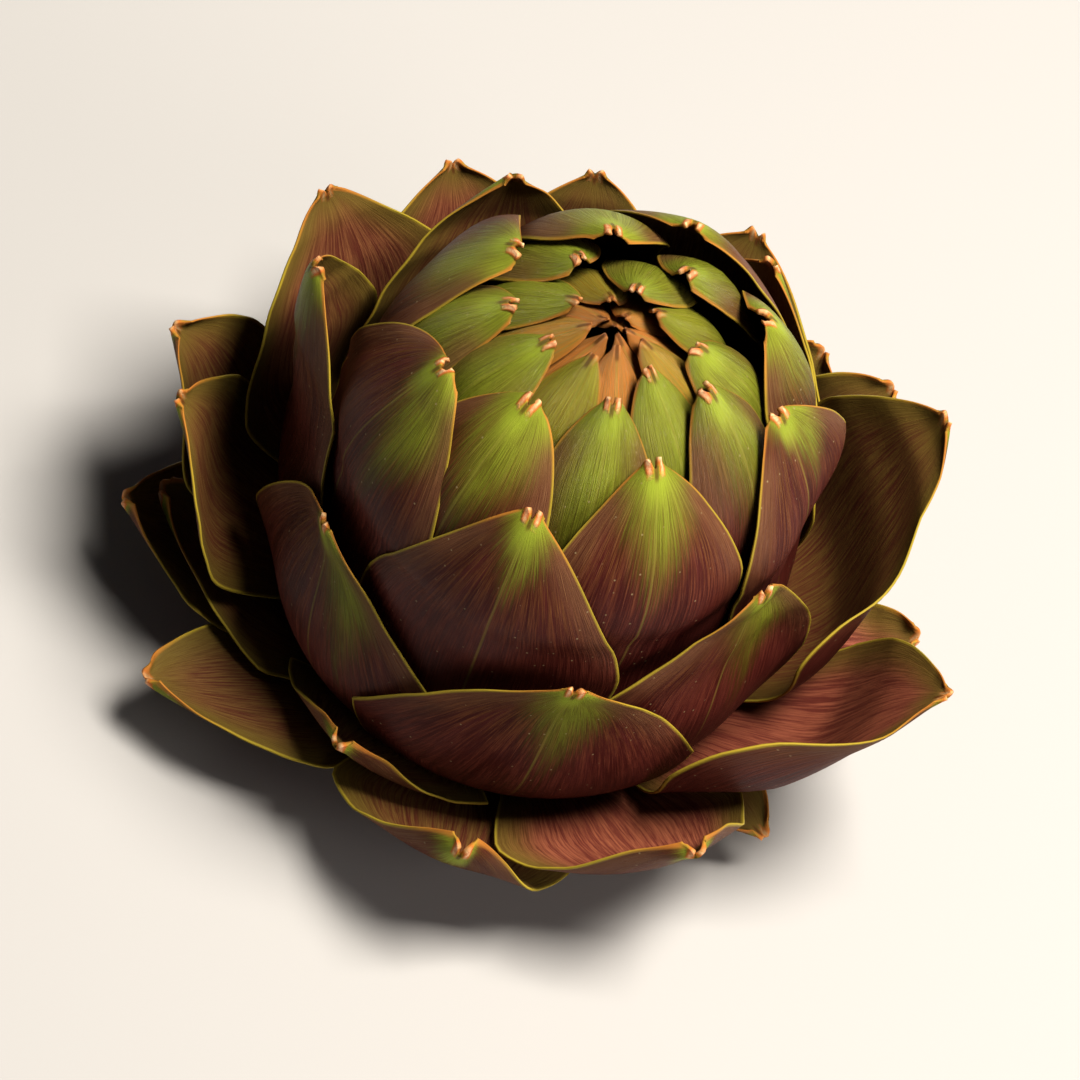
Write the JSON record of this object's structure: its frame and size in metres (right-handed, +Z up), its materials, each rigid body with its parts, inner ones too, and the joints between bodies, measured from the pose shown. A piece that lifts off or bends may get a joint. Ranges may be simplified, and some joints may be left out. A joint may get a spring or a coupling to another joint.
{
  "type": "artichoke",
  "caption": "Globe artichoke head cut from its plant: purple-green notched bracts overlap in a spiral, open at the outside and closed over the crown, on a short trimmed stem.",
  "frame": {"origin": "centre of the flat cut under the stem", "axes": "+Z up along the stem to the crown, -Y towards the side that the picture shows as the front"},
  "size_m": [0.1263, 0.1155, 0.0897],
  "materials": {
    "heart_flesh": "matte fibrous plant flesh",
    "outer_bract_skin": "satin dark purple plant skin with olive streaks",
    "middle_bract_skin": "satin purple plant skin turning green at the tip",
    "crown_bract_skin": "satin green plant skin with orange-brown tips"
  },
  "bodies": {
    "root": {"heart_and_stem": "heart_flesh", "outer_bract_01": "outer_bract_skin", "outer_bract_02": "outer_bract_skin", "outer_bract_03": "outer_bract_skin", "outer_bract_04": "outer_bract_skin", "outer_bract_05": "outer_bract_skin", "outer_bract_06": "outer_bract_skin", "outer_bract_07": "outer_bract_skin", "outer_bract_08": "outer_bract_skin", "outer_bract_09": "outer_bract_skin", "outer_bract_10": "outer_bract_skin", "outer_bract_11": "outer_bract_skin", "outer_bract_12": "outer_bract_skin", "outer_bract_13": "outer_bract_skin", "outer_bract_14": "outer_bract_skin", "outer_bract_15": "outer_bract_skin", "outer_bract_16": "outer_bract_skin", "outer_bract_17": "outer_bract_skin", "outer_bract_18": "outer_bract_skin", "outer_bract_19": "outer_bract_skin", "outer_bract_20": "outer_bract_skin", "middle_bract_01": "middle_bract_skin", "middle_bract_02": "middle_bract_skin", "middle_bract_03": "middle_bract_skin", "middle_bract_04": "middle_bract_skin", "middle_bract_05": "middle_bract_skin", "middle_bract_06": "middle_bract_skin", "middle_bract_07": "middle_bract_skin", "middle_bract_08": "middle_bract_skin", "middle_bract_09": "middle_bract_skin", "middle_bract_10": "middle_bract_skin", "middle_bract_11": "middle_bract_skin", "middle_bract_12": "middle_bract_skin", "middle_bract_13": "middle_bract_skin", "middle_bract_14": "middle_bract_skin", "middle_bract_15": "middle_bract_skin", "middle_bract_16": "middle_bract_skin", "crown_bract_01": "crown_bract_skin", "crown_bract_02": "crown_bract_skin", "crown_bract_03": "crown_bract_skin", "crown_bract_04": "crown_bract_skin", "crown_bract_05": "crown_bract_skin", "crown_bract_06": "crown_bract_skin", "crown_bract_07": "crown_bract_skin", "crown_bract_08": "crown_bract_skin", "crown_bract_09": "crown_bract_skin", "crown_bract_10": "crown_bract_skin", "crown_bract_11": "crown_bract_skin", "crown_bract_12": "crown_bract_skin", "crown_bract_13": "crown_bract_skin", "crown_bract_14": "crown_bract_skin", "crown_bract_15": "crown_bract_skin", "crown_bract_16": "crown_bract_skin", "crown_bract_17": "crown_bract_skin", "crown_bract_18": "crown_bract_skin", "crown_bract_19": "crown_bract_skin", "crown_bract_20": "crown_bract_skin", "crown_bract_21": "crown_bract_skin", "crown_bract_22": "crown_bract_skin"}
  },
  "joints": []
}
